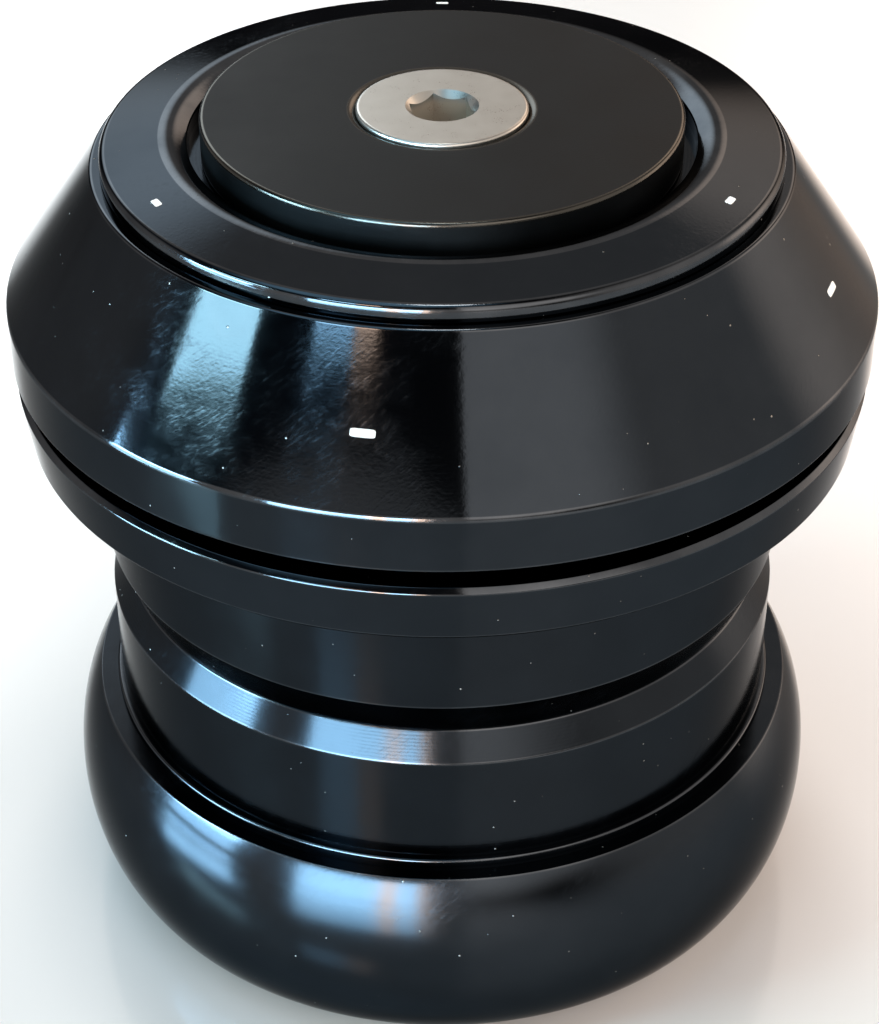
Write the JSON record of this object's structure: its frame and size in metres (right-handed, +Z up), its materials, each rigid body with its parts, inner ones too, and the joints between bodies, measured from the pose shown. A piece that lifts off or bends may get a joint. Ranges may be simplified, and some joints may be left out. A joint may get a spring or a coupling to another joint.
{
  "type": "bicycle headset",
  "caption": "Black threadless bicycle headset as a stack: rounded lower cup, upper cup, conical bearing cover, spacer and top cap with a countersunk screw, turning on cartridge bearings.",
  "frame": {"origin": "on the steering axis at the underside of the crown race, where the stack stands", "axes": "+Z up the steering axis, towards the top cap; -Y faces the picture's viewer"},
  "size_m": [0.0608, 0.0608, 0.0631],
  "materials": {
    "black_anodised": "polished, black anodised",
    "cap_black": "satin black anodised",
    "ring_aluminium": "turned, bare",
    "bolt_steel": "satin stainless",
    "zinc_steel": "zinc plated",
    "bearing_steel": "ground",
    "crown_steel": "blackened",
    "cage_nylon": "moulded",
    "seal_rubber": "moulded"
  },
  "bodies": {
    "cups": {"lower_cup": "black_anodised", "upper_cup": "black_anodised", "lower_bearing_outer_race": "bearing_steel", "lower_bearing_upper_seal": "seal_rubber", "lower_bearing_lower_seal": "seal_rubber", "upper_bearing_outer_race": "bearing_steel", "upper_bearing_upper_seal": "seal_rubber", "upper_bearing_lower_seal": "seal_rubber"},
    "upper_steering": {"bearing_cover": "black_anodised", "cover_seal": "seal_rubber", "compression_ring": "ring_aluminium", "top_spacer": "black_anodised", "top_cap": "cap_black", "star_nut_body": "zinc_steel", "star_washer_lower": "zinc_steel", "star_washer_upper": "zinc_steel", "upper_bearing_inner_race": "bearing_steel"},
    "lower_steering": {"crown_race": "crown_steel", "crown_race_seal": "seal_rubber", "lower_bearing_inner_race": "bearing_steel"},
    "upper_cage": {"upper_bearing_ball_cage": "cage_nylon", "upper_bearing_balls": "bearing_steel"},
    "lower_cage": {"lower_bearing_ball_cage": "cage_nylon", "lower_bearing_balls": "bearing_steel"},
    "bolt": {"top_cap_bolt": "bolt_steel"}
  },
  "joints": [
    {"name": "upper_steering_turn", "type": "hinge", "parent": "cups", "child": "upper_steering", "pos_m": [0, 0, 0.0459], "axis": [0, 0, 1], "continuous": true},
    {"name": "lower_steering_turn", "type": "hinge", "parent": "cups", "child": "lower_steering", "pos_m": [0, 0, 0.0075], "axis": [0, 0, 1], "continuous": true},
    {"name": "upper_cage_turn", "type": "hinge", "parent": "cups", "child": "upper_cage", "pos_m": [0, 0, 0.0459], "axis": [0, 0, 1], "continuous": true},
    {"name": "lower_cage_turn", "type": "hinge", "parent": "cups", "child": "lower_cage", "pos_m": [0, 0, 0.0075], "axis": [0, 0, 1], "continuous": true},
    {"name": "bolt_turn", "type": "hinge", "parent": "upper_steering", "child": "bolt", "pos_m": [0, 0, 0.063], "axis": [0, 0, 1], "continuous": true}
  ],
  "couplings": [
    {"joint": "upper_cage_turn", "follows": "upper_steering_turn", "ratio": 0.4756},
    {"joint": "lower_cage_turn", "follows": "lower_steering_turn", "ratio": 0.4756}
  ]
}
